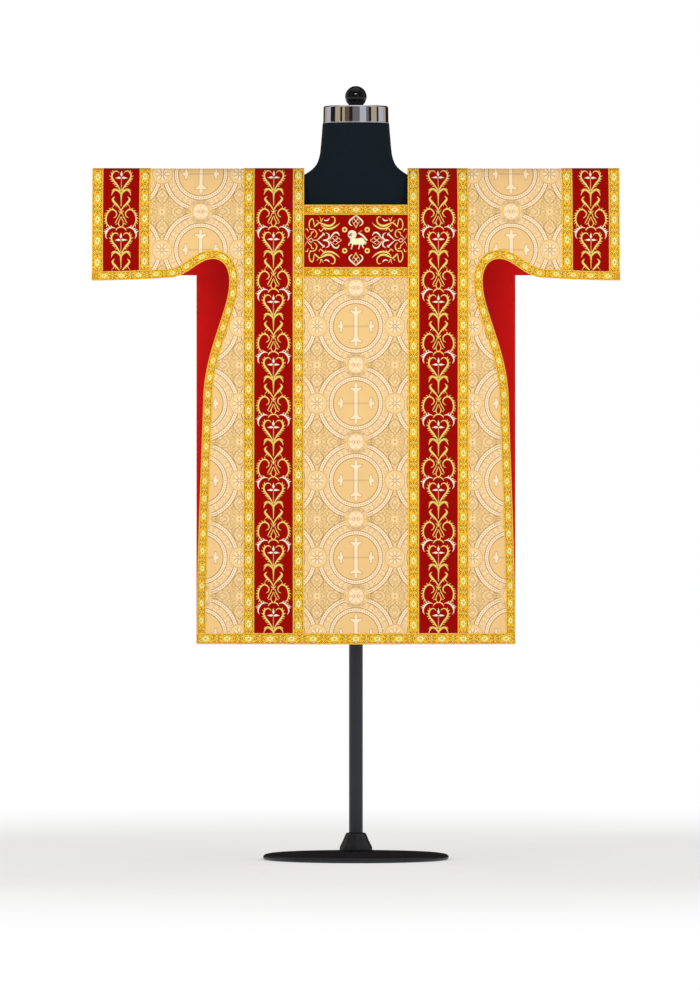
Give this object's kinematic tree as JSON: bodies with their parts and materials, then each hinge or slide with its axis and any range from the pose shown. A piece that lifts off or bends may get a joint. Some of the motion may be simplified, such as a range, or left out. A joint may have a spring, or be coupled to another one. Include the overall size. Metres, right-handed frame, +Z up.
{
  "type": "tunicle on a dress form",
  "caption": "Wide-sleeved liturgical tunicle of gold brocade with red orphreys and gold galloon, open at the sides, on a limbless dress form with a round base.",
  "frame": {"origin": "on the floor, at the centre of the underside of the round base", "axes": "+Z up the post, -Y is the front of the garment, +X to the right as the front is seen, along the sleeves"},
  "size_m": [1.22, 0.43, 1.7905],
  "materials": {
    "brocade": "pale gold damask-woven brocade, crosses in roundels on a foliate ground, satin sheen",
    "red_lining": "plain bright red lining satin",
    "red_satin": "deep red satin ground, embroidered in gold and cream thread",
    "galloon": "woven yellow-gold galloon with a raised flower and leaf figure and corded edges",
    "form_cover": "fine black jersey, matt",
    "chrome": "polished chrome",
    "black_gloss": "glossy black lacquer",
    "dark_steel": "satin black powder coat"
  },
  "bodies": {
    "root": {"front": "brocade", "back": "brocade", "back_lining": "red_lining", "yoke": "red_satin", "yoke_galloon": "galloon", "neck_galloon_front": "galloon", "hem_galloon_front": "galloon", "clavus_front_left": "red_satin", "clavus_front_right": "red_satin", "clavus_inner_galloon_front_left": "galloon", "clavus_inner_galloon_front_right": "galloon", "clavus_outer_galloon_front_left": "galloon", "clavus_outer_galloon_front_right": "galloon", "cuff_front_left": "red_satin", "cuff_front_right": "red_satin", "cuff_inner_galloon_front_left": "galloon", "cuff_inner_galloon_front_right": "galloon", "cuff_outer_galloon_front_left": "galloon", "cuff_outer_galloon_front_right": "galloon", "side_galloon_front_left": "galloon", "side_galloon_front_right": "galloon", "neck_galloon_back": "galloon", "hem_galloon_back": "galloon", "clavus_back_left": "red_satin", "clavus_back_right": "red_satin", "clavus_inner_galloon_back_left": "galloon", "clavus_inner_galloon_back_right": "galloon", "clavus_outer_galloon_back_left": "galloon", "clavus_outer_galloon_back_right": "galloon", "cuff_back_left": "red_satin", "cuff_back_right": "red_satin", "cuff_inner_galloon_back_left": "galloon", "cuff_inner_galloon_back_right": "galloon", "cuff_outer_galloon_back_left": "galloon", "cuff_outer_galloon_back_right": "galloon", "side_galloon_back_left": "galloon", "side_galloon_back_right": "galloon", "form_torso": "form_cover", "form_neck_cap": "chrome", "form_finial": "black_gloss", "form_board": "black_gloss", "form_post": "dark_steel", "form_socket": "dark_steel", "form_base": "dark_steel"}
  },
  "joints": []
}
